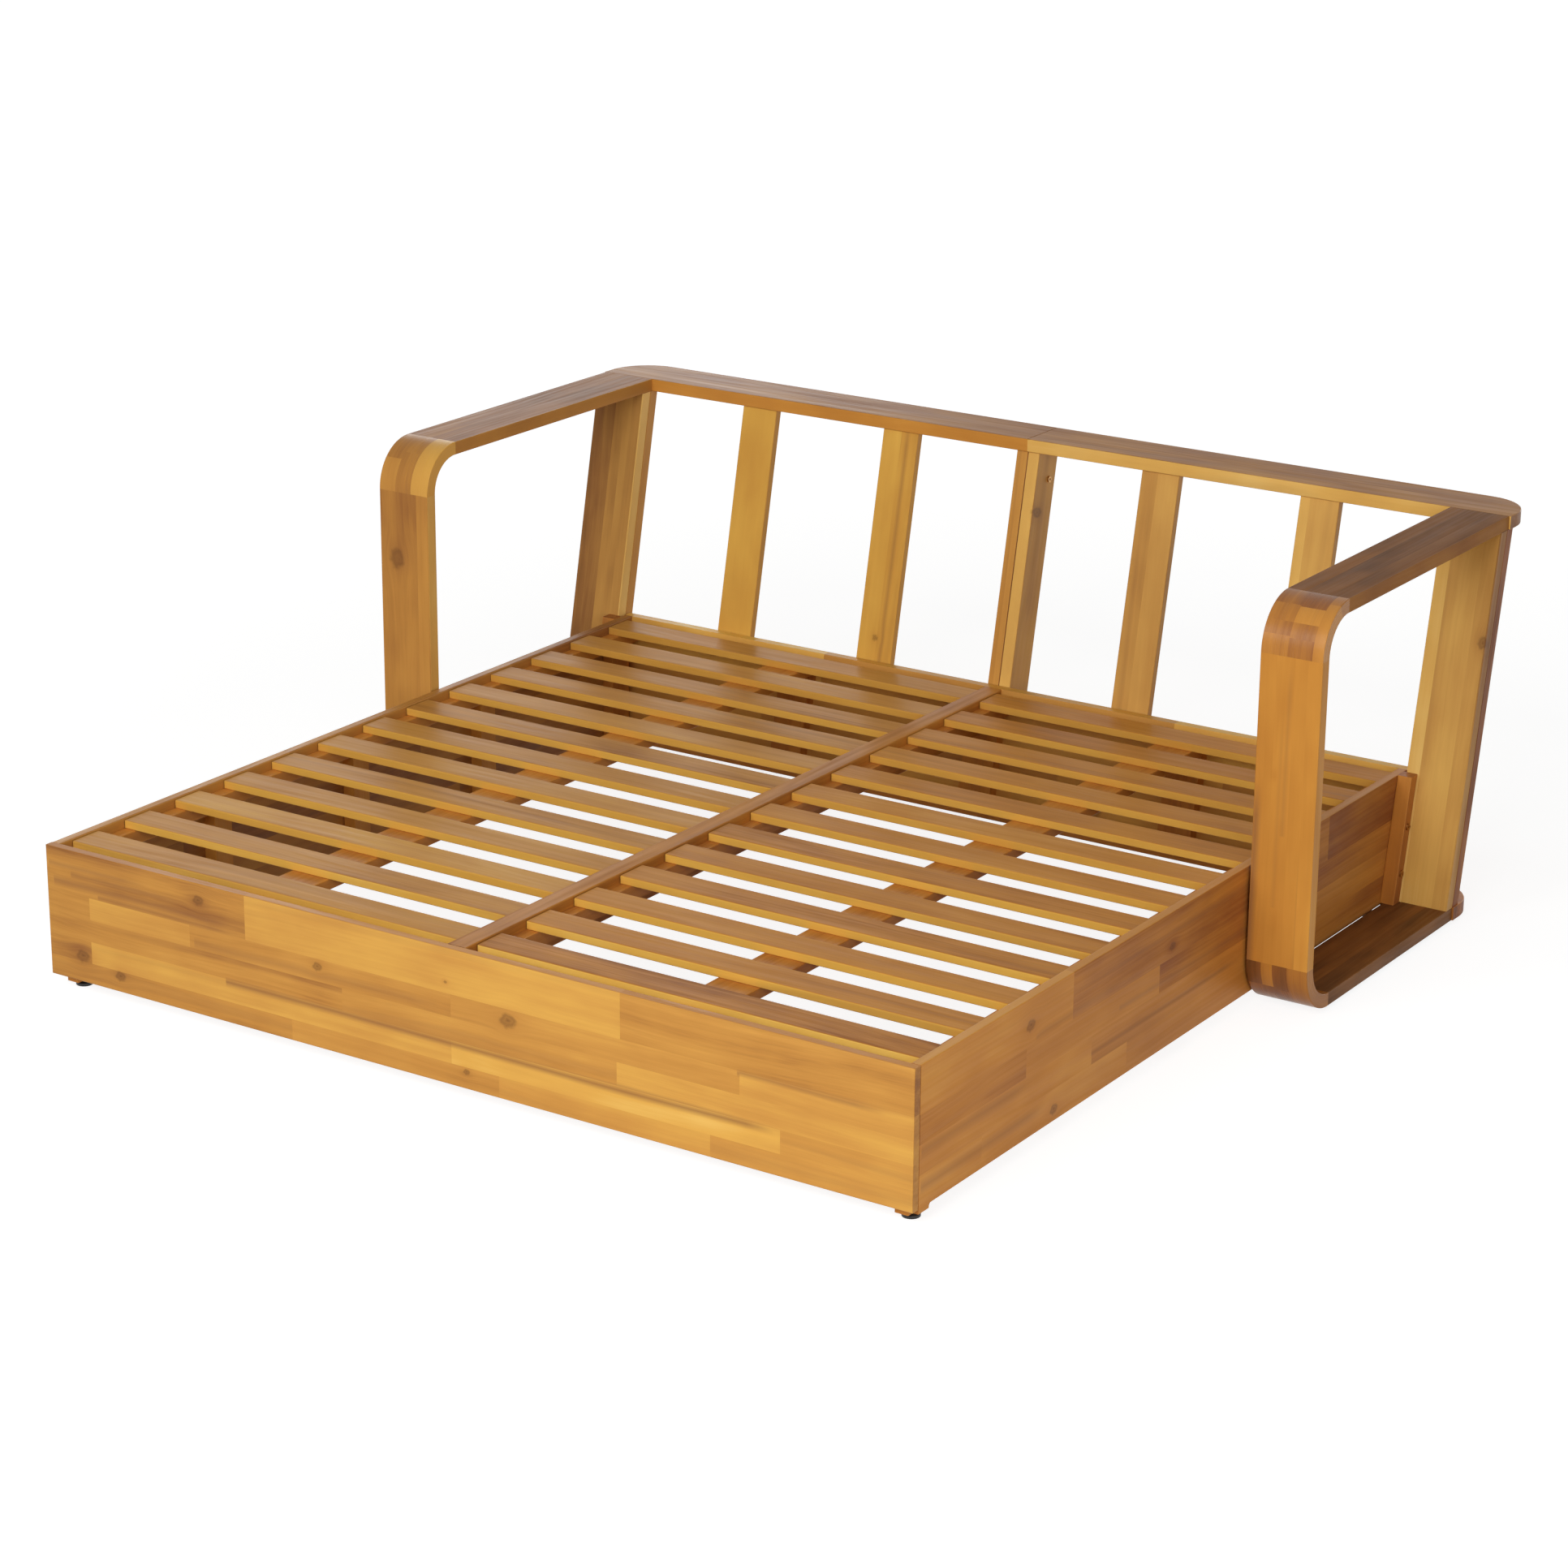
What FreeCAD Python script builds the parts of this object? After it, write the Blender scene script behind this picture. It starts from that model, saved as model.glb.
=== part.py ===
import FreeCAD, Part
import os
import re

import Sketcher

# Outdoor daybed: a square slatted base, two loop arms bolted to its sides and a reclined back in two halves.
# X runs to the right, Y to the back and Z up. Inside each piece, depths count from the daybed's front face
# and heights from the floor. Every piece is then set back by half the overall depth.

os.makedirs("parts", exist_ok=True)
doc = FreeCAD.newDocument("daybed")

# Driving sizes in millimetres, angles in degrees

driving_sizes = {
    # whole object
    "overall_depth": 1925,
    "overall_height": 736,
    "back_lean": 11.5,
    # base panels
    "base_width": 1750,
    "panel_height": 236,
    "panel_lift": 28,
    "panel_thickness": 18,
    "panel_round": 2,
    "foot_drop": 8,
    "foot_length": 30,
    "foot_round": 6,
    # slatted seat
    "slat_count": 13,
    "slat_width": 65,
    "slat_thickness": 15,
    "slat_round": 2,
    "slat_drop": 3,
    "slat_side_gap": 2,
    "slat_front_gap": 29,
    "slat_back_gap": 16,
    # what carries the slats
    "beam_width": 37,
    "beam_height": 71,
    "ledger_width": 25,
    "ledger_height": 27,
    "ledger_end_gap": 1,
    "support_share": 0.5,
    "support_width": 80,
    "support_thickness": 20,
    "post_width": 70,
    "post_thickness": 25,
    "batten_count": 3,
    "batten_first": 385,
    "batten_pitch": 389,
    "batten_width": 45,
    # legs and levelers
    "leg_thickness": 25,
    "leg_width": 58,
    "leg_lift": 13,
    "insert_radius": 6,
    "insert_length": 20,
    "stem_radius": 4,
    "stem_length": 44,
    "stem_end_gap": 2,
    "pad_radius": 15,
    "pad_edge": 5,
    "pad_shoulder": 8,
    "pad_neck_radius": 9,
    "pad_floor": 3,
    "running_gap": 0.3,
    "insert_gap": 0.1,
    # arms
    "arm_gap": 6,
    "arm_width": 115,
    "arm_board": 25,
    "arm_length": 738,
    "arm_lift": 8,
    "arm_round": 1.5,
    "corner_radius": 90,
    "cleat_width": 28,
    "cleat_depth": 25,
    "cleat_rise": 1,
    "cleat_gap": 2,
    # back
    "rail_depth": 115,
    "rail_overhang": 3,
    "rail_corner_radius": 88,
    "rail_clearance": 7,
    "back_board": 25,
    "back_slat_width": 80,
    "back_slat_thickness": 17,
    "back_slat_setback": 10,
    "inner_slat_share": 0.329143,
    "outer_slat_share": 0.708571,
    "center_post_depth": 73,
    "back_panel_gap": 2,
    # connector bolts
    "bolt_radius": 3,
    "bolt_length": 43,
    "bolt_head_radius": 6.5,
    "bolt_head_height": 3,
    "bolt_socket_width": 4,
    "bolt_socket_depth": 2,
    "bolt_hole_gap": 0.3,
    "bolt_end_gap": 1,
    "cleat_bolt_high": 145,
    "rear_bolt_low": 60,
    "front_bolt_low": 100,
    "post_bolt_inset": 59,
    "stile_bolt_inset": 120,
    "stile_bolt_edge": 17,
}

sheet = doc.addObject("Spreadsheet::Sheet", "sizes")
for row, (name, value) in enumerate(driving_sizes.items(), start=1):
    sheet.set(f"A{row}", str(value))
    sheet.setAlias(f"A{row}", name)
doc.recompute()


def rule(text):
    # A rule written in plain size names becomes an expression on the sheet.
    return re.sub(r"[a-z_]+", lambda word: f"sizes.{word[0]}" if word[0] in driving_sizes else word[0], text)


def size_of(text):
    return float(sheet.evalExpression(rule(text)))


def bind(feature, rules):
    for target, text in rules.items():
        feature.setExpression(target, rule(text))


# Heights, depths and widths that several pieces share

panel_top = "(panel_lift + panel_height)"
slat_bed = f"({panel_top} - slat_drop - slat_thickness)"
ledger_bottom = f"({slat_bed} - ledger_height)"
support_bottom = f"({slat_bed} - support_thickness)"
beam_bottom = f"({panel_top} - beam_height)"
support_middle = "(support_share * base_width / 2)"
inner_side = "(base_width / 2 - panel_thickness)"
outer_side = "(base_width / 2)"
arm_inner = f"({outer_side} + arm_gap)"
arm_outer = f"({arm_inner} + arm_width)"
arm_front = "(overall_depth - rail_depth - arm_length)"
arm_floor = "(arm_lift + arm_board)"
arm_ceiling = "(overall_height - arm_board)"
corner_depth = f"({arm_front} + corner_radius)"
low_corner = "(arm_lift + corner_radius)"
high_corner = "(overall_height - corner_radius)"
rail_bottom_floor = "(arm_lift + back_board)"
rail_top_ceiling = "(overall_height - back_board)"
rail_front = "(overall_depth - rail_depth)"
rail_end = f"({arm_outer} + rail_overhang)"
cleat_outer = f"({outer_side} + cleat_width)"
back_panel_floor = f"max(panel_lift; {rail_bottom_floor} + rail_clearance)"
back_panel_outer = "(back_slat_setback - back_panel_gap)"
back_panel_inner = f"({back_panel_outer} - panel_thickness)"


def leaning_depth(offset, height):
    # Depth, at a height, of a plane parallel to the one where the arms' rear posts meet the back's stiles.
    # The offset is the board thickness between the two planes, positive to the back.
    return f"({rail_front} - tan(back_lean) * (overall_height - ({height})) + ({offset}) / cos(back_lean))"


low_rail_front = leaning_depth("0", rail_bottom_floor)
panel_foot = leaning_depth(back_panel_inner, back_panel_floor)
rear_leg_back = f"min({low_rail_front} - rail_clearance; {panel_foot} - ledger_end_gap)"
rear_leg_front = f"({rear_leg_back} - leg_width)"

sides = {"L": -1, "R": 1}


def low_x(side, near, far):
    # The lower X limit of a stretch between two distances from the middle, on one side.
    return near if sides[side] > 0 else f"-({far})"


# Ways to make a piece

nodes = []


def new_body(name):
    body = doc.addObject("PartDesign::Body", name)
    body.Label = name
    body.setExpression("Placement.Base.y", rule("-overall_depth / 2"))
    nodes.append(body)
    return body


def add_block(body, x, y, z, length, width, height, kind="PartDesign::AdditiveBox"):
    block = body.newObject(kind, f"{body.Name}_block")
    bind(block, {
        "Length": length, "Width": width, "Height": height,
        "Placement.Base.x": x, "Placement.Base.y": y, "Placement.Base.z": z,
    })
    doc.recompute()
    return block


def straight_edges(feature, direction):
    # Names of the straight edges that run along a direction.
    names = []
    for number, edge in enumerate(feature.Shape.Edges, start=1):
        if edge.Curve.TypeId == "Part::GeomLine" and abs(edge.Curve.Direction.dot(direction)) > 0.999:
            names.append(f"Edge{number}")
    return names


def round_edges(body, names, radius):
    base = body.Tip
    fillet = body.newObject("PartDesign::Fillet", f"{body.Name}_round")
    fillet.Base = (base, names)
    fillet.setExpression("Radius", rule(radius))
    doc.recompute()
    return fillet


along_x = FreeCAD.Vector(1, 0, 0)
along_y = FreeCAD.Vector(0, 1, 0)
along_z = FreeCAD.Vector(0, 0, 1)


def board(name, x, y, z, length, width, height, grain, radius):
    # A plain board whose edges along the grain are eased.
    body = new_body(name)
    block = add_block(body, x, y, z, length, width, height)
    round_edges(body, straight_edges(block, grain), radius)
    return body


def profile_pad(body, corners, x, length):
    # A straight-sided profile in depth and height, padded along X.
    sketch = body.newObject("Sketcher::SketchObject", f"{body.Name}_profile")
    plane = next(item for item in body.Origin.OriginFeatures if item.Role == "YZ_Plane")
    sketch.AttachmentSupport = (plane, [""])
    sketch.MapMode = "FlatFace"
    sketch.setExpression("AttachmentOffset.Base.z", rule(x))
    points = [FreeCAD.Vector(size_of(depth), size_of(height), 0) for depth, height in corners]
    count = len(points)
    for index in range(count):
        sketch.addGeometry(Part.LineSegment(points[index], points[(index + 1) % count]))
    for index, (depth, height) in enumerate(corners):
        sketch.addConstraint(Sketcher.Constraint("Coincident", index, 2, (index + 1) % count, 1))
        for kind, text in (("DistanceX", depth), ("DistanceY", height)):
            number = sketch.addConstraint(Sketcher.Constraint(kind, -1, 1, index, 1, size_of(text)))
            sketch.setExpression(f"Constraints[{number}]", rule(text))
    pad = body.newObject("PartDesign::Pad", f"{body.Name}_pad")
    pad.Profile = sketch
    pad.setExpression("Length", rule(length))
    doc.recompute()
    return pad


def leaning_board(name, x, length, front, back, bottom, top, radius):
    # A board that leans with the back, cut level at its foot and head.
    body = new_body(name)
    add_leaning_block(body, x, length, front, back, bottom, top)
    lean = FreeCAD.Rotation(along_x, -size_of("back_lean")).multVec(along_z)
    round_edges(body, straight_edges(body.Tip, lean), radius)
    return body


def add_leaning_block(body, x, length, front, back, bottom, top):
    corners = [
        (leaning_depth(front, bottom), bottom),
        (leaning_depth(back, bottom), bottom),
        (leaning_depth(back, top), top),
        (leaning_depth(front, top), top),
    ]
    return profile_pad(body, corners, x, length)


def repeat_along_y(body, count, pitch):
    row = body.newObject("PartDesign::LinearPattern", f"{body.Name}_row")
    row.TransformMode = "Whole shape"
    axis = next(item for item in body.Origin.OriginFeatures if item.Role == "Y_Axis")
    row.Direction = (axis, [""])
    row.Mode = "Spacing"
    bind(row, {"Offset": pitch, "Occurrences": count})
    body.Tip = row
    doc.recompute()


def drill(body, spot, radius, depth):
    hole = body.newObject("PartDesign::SubtractiveCylinder", f"{body.Name}_hole")
    hole.Placement = FreeCAD.Placement(FreeCAD.Vector(), spot["turn"])
    bind(hole, {
        "Radius": radius, "Height": depth,
        "Placement.Base.x": spot["x"], "Placement.Base.y": spot["y"], "Placement.Base.z": spot["z"],
    })
    doc.recompute()


# Connector bolts: where each head seats, and the way its shank points

def sideways_spot(side, x, depth, height):
    return {
        "x": f"{sides[side]} * ({x})", "y": depth, "z": height,
        "turn": FreeCAD.Rotation(along_y, -90 * sides[side]),
    }


def rear_cleat_spot(side, rise):
    height = f"(panel_lift + {rise})"
    depth = leaning_depth("-arm_board - cleat_depth / 2", height)
    return sideways_spot(side, cleat_outer, depth, height)


def front_cleat_spot(side, rise):
    depth = f"({arm_front} + arm_board + cleat_depth / 2)"
    return sideways_spot(side, cleat_outer, depth, f"(panel_lift + {rise})")


def center_post_spot(height):
    depth = leaning_depth("back_slat_setback + center_post_depth * 2 / 3", height)
    return sideways_spot("R", "back_board", depth, height)


def stile_spot(side, height):
    return {
        "x": f"{sides[side]} * ({arm_outer} - stile_bolt_edge)",
        "y": leaning_depth("back_board", height), "z": height,
        "turn": FreeCAD.Rotation(along_x, 90 - size_of("back_lean")),
    }


bolt_heights = {
    "post": (f"({rail_bottom_floor} + post_bolt_inset)", f"({rail_top_ceiling} - post_bolt_inset)"),
    "stile": (f"({rail_bottom_floor} + stile_bolt_inset)", f"({rail_top_ceiling} - stile_bolt_inset)"),
}
rear_cleat_spots = {side: [rear_cleat_spot(side, rise) for rise in ("rear_bolt_low", "cleat_bolt_high")]
                    for side in sides}
front_cleat_spots = {side: [front_cleat_spot(side, rise) for rise in ("front_bolt_low", "cleat_bolt_high")]
                     for side in sides}
stile_spots = {side: [stile_spot(side, height) for height in bolt_heights["stile"]] for side in sides}
center_spots = [center_post_spot(height) for height in bolt_heights["post"]]


def drill_for_bolts(body, spots):
    for spot in spots:
        drill(body, spot, "bolt_radius + bolt_hole_gap", "bolt_length + bolt_end_gap")


# Base panels

def front_panel():
    body = new_body("front_panel")
    block = add_block(body, f"-{outer_side}", "0", "panel_lift", "base_width", "panel_thickness",
                      "panel_height")
    names = straight_edges(block, along_x) + straight_edges(block, along_z)
    round_edges(body, names, "panel_round")


def side_panel(side):
    # It stands between the front and back panels. Its back end leans with the back, and a low foot
    # stands below its front end.
    body = new_body(f"side_panel_{side}")
    corners = [
        ("panel_thickness", "panel_lift - foot_drop"),
        ("panel_thickness + foot_length", "panel_lift - foot_drop"),
        ("panel_thickness + foot_length", "panel_lift"),
        (leaning_depth(back_panel_inner, "panel_lift"), "panel_lift"),
        (leaning_depth(back_panel_inner, panel_top), panel_top),
        ("panel_thickness", panel_top),
    ]
    x = low_x(side, inner_side, outer_side)
    pad = profile_pad(body, corners, x, "panel_thickness")
    inner_corner = FreeCAD.Vector(0, size_of("panel_thickness + foot_length"), size_of("panel_lift"))
    heel = [f"Edge{number}" for number, edge in enumerate(pad.Shape.Edges, start=1)
            if abs(edge.Curve.Direction.x) > 0.9
            and edge.CenterOfMass.sub(inner_corner).cross(along_x).Length < 0.1]
    round_edges(body, heel, "foot_round")
    round_edges(body, top_edges(body.Tip), "panel_round")
    drill_for_bolts(body, rear_cleat_spots[side] + front_cleat_spots[side])


def top_edges(feature):
    top = feature.Shape.BoundBox.ZMax
    return [f"Edge{number}" for number, edge in enumerate(feature.Shape.Edges, start=1)
            if edge.BoundBox.ZMin > top - 0.01 and edge.BoundBox.YLength > edge.BoundBox.XLength]


def back_panel():
    leaning_board("back_panel", f"-{outer_side}", "base_width", back_panel_inner, back_panel_outer,
                  back_panel_floor, panel_top, "panel_round")


# What carries the slats

def seat_end(height):
    return leaning_depth(back_panel_inner, height)


def center_beam():
    body = new_body("center_beam")
    corners = [
        ("panel_thickness", beam_bottom),
        (seat_end(beam_bottom), beam_bottom),
        (seat_end(panel_top), panel_top),
        ("panel_thickness", panel_top),
    ]
    profile_pad(body, corners, "-beam_width / 2", "beam_width")
    round_edges(body, straight_edges(body.Tip, along_y), "slat_round")


def beam_ledgers():
    body = new_body("beam_ledgers")
    body.AllowCompound = True
    length = f"{seat_end(ledger_bottom)} - panel_thickness - ledger_end_gap"
    for side in sides:
        x = low_x(side, "beam_width / 2", "beam_width / 2 + ledger_width")
        add_block(body, x, "panel_thickness", ledger_bottom, "ledger_width", length, "ledger_height")


def side_ledger(side):
    x = low_x(side, f"{inner_side} - ledger_width", inner_side)
    length = f"{seat_end(ledger_bottom)} - panel_thickness - ledger_end_gap"
    board(f"side_ledger_{side}", x, "panel_thickness", ledger_bottom, "ledger_width", length, "ledger_height",
          along_y, "slat_round")


def mid_support(side):
    x = low_x(side, f"{support_middle} - support_width / 2", f"{support_middle} + support_width / 2")
    length = f"{seat_end(support_bottom)} - panel_thickness - ledger_end_gap"
    board(f"mid_support_{side}", x, "panel_thickness", support_bottom, "support_width", length,
          "support_thickness", along_y, "slat_round")


def seat_slats(side):
    near = "(beam_width / 2 + slat_side_gap)"
    far = f"({inner_side} - slat_side_gap)"
    first = "(panel_thickness + slat_front_gap)"
    body = new_body(f"seat_slats_{side}")
    body.AllowCompound = True
    block = add_block(body, low_x(side, near, far), first, slat_bed, f"{far} - {near}", "slat_width",
                      "slat_thickness")
    round_edges(body, straight_edges(block, along_x), "slat_round")
    last = f"({seat_end(slat_bed)} - slat_back_gap - slat_width)"
    repeat_along_y(body, "slat_count", f"({last} - {first}) / (slat_count - 1)")


post_tops = {f"-{support_middle}": support_bottom, "0": beam_bottom, support_middle: support_bottom}


def front_posts():
    # Uprights on the inside of the front panel, under the beam and the two mid supports.
    body = new_body("front_posts")
    body.AllowCompound = True
    for middle, top in post_tops.items():
        add_block(body, f"{middle} - post_width / 2", "panel_thickness", "panel_lift", "post_width",
                  "post_thickness", f"{top} - panel_lift")


def back_posts():
    body = new_body("back_posts")
    body.AllowCompound = True
    for middle, top in post_tops.items():
        add_leaning_block(body, f"{middle} - post_width / 2", "post_width",
                          f"{back_panel_inner} - post_thickness", back_panel_inner, back_panel_floor, top)


def side_battens(side):
    body = new_body(f"side_battens_{side}")
    body.AllowCompound = True
    add_block(body, low_x(side, f"{inner_side} - ledger_width", inner_side), "batten_first", "panel_lift",
              "ledger_width", "batten_width", f"{ledger_bottom} - panel_lift")
    repeat_along_y(body, "batten_count", "batten_pitch")


# Legs and levelers

leg_fronts = {"F": "panel_thickness", "B": rear_leg_front}
leg_middle = f"({inner_side} - leg_thickness / 2)"
upright = FreeCAD.Rotation()


def leveler_spot(end, side, height):
    return {
        "x": f"{sides[side]} * {leg_middle}", "y": f"({leg_fronts[end]} + leg_width / 2)", "z": height,
        "turn": upright,
    }


def corner_leg(end, side):
    x = low_x(side, f"{inner_side} - leg_thickness", inner_side)
    body = board(f"corner_leg_{end}{side}", x, leg_fronts[end], "leg_lift", "leg_thickness", "leg_width",
                 f"{ledger_bottom} - leg_lift", along_z, "slat_round")
    spot = leveler_spot(end, side, "leg_lift")
    drill(body, spot, "insert_radius + insert_gap", "insert_length")
    stem_bore = "pad_floor + running_gap + stem_length + stem_end_gap - leg_lift"
    drill(body, spot, "stem_radius + running_gap", stem_bore)


def add_post(body, spot, radius, height, kind="PartDesign::AdditiveCylinder"):
    post = body.newObject(kind, f"{body.Name}_round_stock")
    bind(post, {
        "Radius": radius, "Height": height,
        "Placement.Base.x": spot["x"], "Placement.Base.y": spot["y"], "Placement.Base.z": spot["z"],
    })
    doc.recompute()
    return post


def leveler_inserts():
    # Threaded sleeves pressed into the legs from below.
    body = new_body("leveler_inserts")
    body.AllowCompound = True
    for end in leg_fronts:
        for side in sides:
            spot = leveler_spot(end, side, "leg_lift")
            add_post(body, spot, "insert_radius", "insert_length")
            add_post(body, spot, "stem_radius + running_gap", "insert_length",
                     "PartDesign::SubtractiveCylinder")


def leveler_stem(end, side):
    body = new_body(f"leveler_stem_{end}{side}")
    add_post(body, leveler_spot(end, side, "pad_floor + running_gap"), "stem_radius", "stem_length")


def leveler_pad(end, side):
    # A round foot with a socket for the stem; its neck stops just below the leg.
    body = new_body(f"leveler_pad_{end}{side}")
    add_post(body, leveler_spot(end, side, "0"), "pad_radius", "pad_edge")
    cone = body.newObject("PartDesign::AdditiveCone", f"{body.Name}_shoulder")
    spot = leveler_spot(end, side, "pad_edge")
    bind(cone, {
        "Radius1": "pad_radius", "Radius2": "pad_neck_radius", "Height": "pad_shoulder - pad_edge",
        "Placement.Base.x": spot["x"], "Placement.Base.y": spot["y"], "Placement.Base.z": spot["z"],
    })
    doc.recompute()
    add_post(body, leveler_spot(end, side, "pad_shoulder"), "pad_neck_radius",
             "leg_lift - running_gap - pad_shoulder")
    add_post(body, leveler_spot(end, side, "pad_floor"), "stem_radius + running_gap", "leg_lift",
             "PartDesign::SubtractiveCylinder")


# Arms

def arm_board_piece(name, side, y, z, width, height, grain):
    x = low_x(side, arm_inner, arm_outer)
    return board(f"{name}_{side}", x, y, z, "arm_width", width, height, grain, "arm_round")


def arm_corner(name, side, height, from_way, to_way):
    # A quarter ring with its axis across the arm.
    body = new_body(f"{name}_{side}")
    turn = FreeCAD.Rotation(from_way, to_way, along_x, "ZXY")
    x = low_x(side, arm_inner, arm_outer)
    for kind, radius in (("Additive", "corner_radius"), ("Subtractive", "corner_radius - arm_board")):
        ring = body.newObject(f"PartDesign::{kind}Cylinder", f"{body.Name}_ring")
        ring.Placement = FreeCAD.Placement(FreeCAD.Vector(), turn)
        ring.Angle = 90
        bind(ring, {
            "Radius": radius, "Height": "arm_width",
            "Placement.Base.x": x, "Placement.Base.y": corner_depth, "Placement.Base.z": height,
        })
        doc.recompute()
    arcs = [f"Edge{number}" for number, edge in enumerate(body.Tip.Shape.Edges, start=1)
            if edge.Curve.TypeId == "Part::GeomCircle"]
    round_edges(body, arcs, "arm_round")


def arm(side):
    arm_board_piece("arm_front_post", side, arm_front, low_corner, "arm_board",
                    f"{high_corner} - {low_corner}", along_z)
    arm_corner("arm_upper_corner", side, high_corner, along_z, -along_y)
    arm_board_piece("armrest", side, corner_depth, arm_ceiling, f"{rail_front} - {corner_depth}", "arm_board",
                    along_y)
    arm_corner("arm_lower_corner", side, low_corner, -along_y, -along_z)
    arm_board_piece("arm_bottom_rail", side, corner_depth, "arm_lift", f"{low_rail_front} - {corner_depth}",
                    "arm_board", along_y)
    rear_post = leaning_board(f"arm_rear_post_{side}", low_x(side, arm_inner, arm_outer), "arm_width",
                              "-arm_board", "0", arm_floor, arm_ceiling, "arm_round")
    drill_for_bolts(rear_post, stile_spots[side])
    cleat_x = low_x(side, outer_side, cleat_outer)
    cleat_top = f"({panel_top} + cleat_rise)"
    rear_cleat = leaning_board(f"arm_rear_cleat_{side}", cleat_x, "cleat_width", "-arm_board - cleat_depth",
                               "-arm_board", arm_floor, cleat_top, "slat_round")
    drill_for_bolts(rear_cleat, rear_cleat_spots[side])
    front_cleat = board(f"arm_front_cleat_{side}", cleat_x, f"{arm_front} + arm_board",
                        f"{low_corner} + cleat_gap", "cleat_width", "cleat_depth",
                        f"{cleat_top} - {low_corner} - cleat_gap", along_z, "slat_round")
    drill_for_bolts(front_cleat, front_cleat_spots[side])


# Back, one half on each side of the middle

def back_rail(name, side, y, z):
    # A level board whose outer back corner is rounded.
    body = new_body(f"{name}_{side}")
    block = add_block(body, low_x(side, "0", rail_end), y, z, rail_end, "rail_depth", "back_board")
    box = block.Shape.BoundBox
    outer = box.XMax if sides[side] > 0 else box.XMin
    corner = FreeCAD.Vector(outer, box.YMax, box.Center.z)
    names = [f"Edge{number}" for number, edge in enumerate(block.Shape.Edges, start=1)
             if edge.CenterOfMass.distanceToPoint(corner) < 0.1]
    round_edges(body, names, "rail_corner_radius")
    round_edges(body, rim_edges(body.Tip), "arm_round")


def rim_edges(feature):
    # Every level edge, so that a fine groove shows where the two halves meet.
    names = []
    for number, edge in enumerate(feature.Shape.Edges, start=1):
        if edge.BoundBox.ZLength < 0.01:
            names.append(f"Edge{number}")
    return names


def back_upright(name, side, near, far, front, back):
    return leaning_board(f"{name}_{side}", low_x(side, near, far), f"({far}) - ({near})", front, back,
                         rail_bottom_floor, rail_top_ceiling, "slat_round")


def back_half(side):
    back_rail("back_top_rail", side, rail_front, rail_top_ceiling)
    back_rail("back_bottom_rail", side, low_rail_front, "arm_lift")
    stile = back_upright("back_stile", side, arm_inner, arm_outer, "0", "back_board")
    drill_for_bolts(stile, stile_spots[side])
    for name, share in (("back_slat_inner", "inner_slat_share"), ("back_slat_outer", "outer_slat_share")):
        middle = f"({share} * base_width / 2)"
        back_upright(name, side, f"{middle} - back_slat_width / 2", f"{middle} + back_slat_width / 2",
                     "back_slat_setback", "back_slat_setback + back_slat_thickness")
    center_post = back_upright("back_center_post", side, "0", "back_board", "back_slat_setback",
                               "back_slat_setback + center_post_depth")
    drill_for_bolts(center_post, center_spots)


# Connector bolts, all alike, as one group of separate solids

def bolt_shape():
    # Head below the origin, shank up along Z, hexagon socket in the head.
    head_height = size_of("bolt_head_height")
    shank = Part.makeCylinder(size_of("bolt_radius"), size_of("bolt_length"))
    head = Part.makeCylinder(size_of("bolt_head_radius"), head_height, FreeCAD.Vector(0, 0, -head_height))
    corner = FreeCAD.Vector(size_of("bolt_socket_width / sqrt(3)"), 0, -head_height)
    turns = [FreeCAD.Rotation(along_z, 60 * step) for step in range(7)]
    hexagon = Part.Face(Part.makePolygon([turn.multVec(corner) for turn in turns]))
    socket = hexagon.extrude(FreeCAD.Vector(0, 0, size_of("bolt_socket_depth")))
    return head.fuse(shank).removeSplitter().cut(socket)


def joint_bolts():
    spots = list(center_spots)
    for side in sides:
        spots += rear_cleat_spots[side] + front_cleat_spots[side] + stile_spots[side]
    bolts = []
    for spot in spots:
        bolt = bolt_shape()
        seat = FreeCAD.Vector(size_of(spot["x"]), size_of(spot["y"]), size_of(spot["z"]))
        bolt.Placement = FreeCAD.Placement(seat, spot["turn"])
        bolts.append(bolt)
    group = doc.addObject("Part::Feature", "joint_bolts")
    group.Label = "joint_bolts"
    group.Shape = Part.makeCompound(bolts)
    set_back = FreeCAD.Vector(0, size_of("-overall_depth / 2"), 0)
    group.Placement = FreeCAD.Placement(set_back, FreeCAD.Rotation())
    nodes.append(group)


front_panel()
back_panel()
center_beam()
beam_ledgers()
front_posts()
back_posts()
for side in sides:
    side_panel(side)
    side_ledger(side)
    mid_support(side)
    seat_slats(side)
    side_battens(side)
    arm(side)
    back_half(side)
for end in leg_fronts:
    for side in sides:
        corner_leg(end, side)
        leveler_stem(end, side)
        leveler_pad(end, side)
leveler_inserts()
joint_bolts()
doc.recompute()

# Every object has to be sound before any file is written
for item in doc.Objects:
    if "Invalid" in item.State or "Error" in item.State:
        raise RuntimeError(f"{item.Name} failed: {item.State}")
for node in nodes:
    if node.Shape.isNull() or not node.Shape.isValid() or not node.Shape.Solids:
        raise RuntimeError(f"{node.Label} has no sound shape")

for node in nodes:
    node.Shape.exportStep(f"parts/{node.Label}.step")
print(len(nodes), "nodes written")
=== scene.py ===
from math import radians

import bmesh
import bpy
from mathutils import Matrix, Vector


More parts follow.
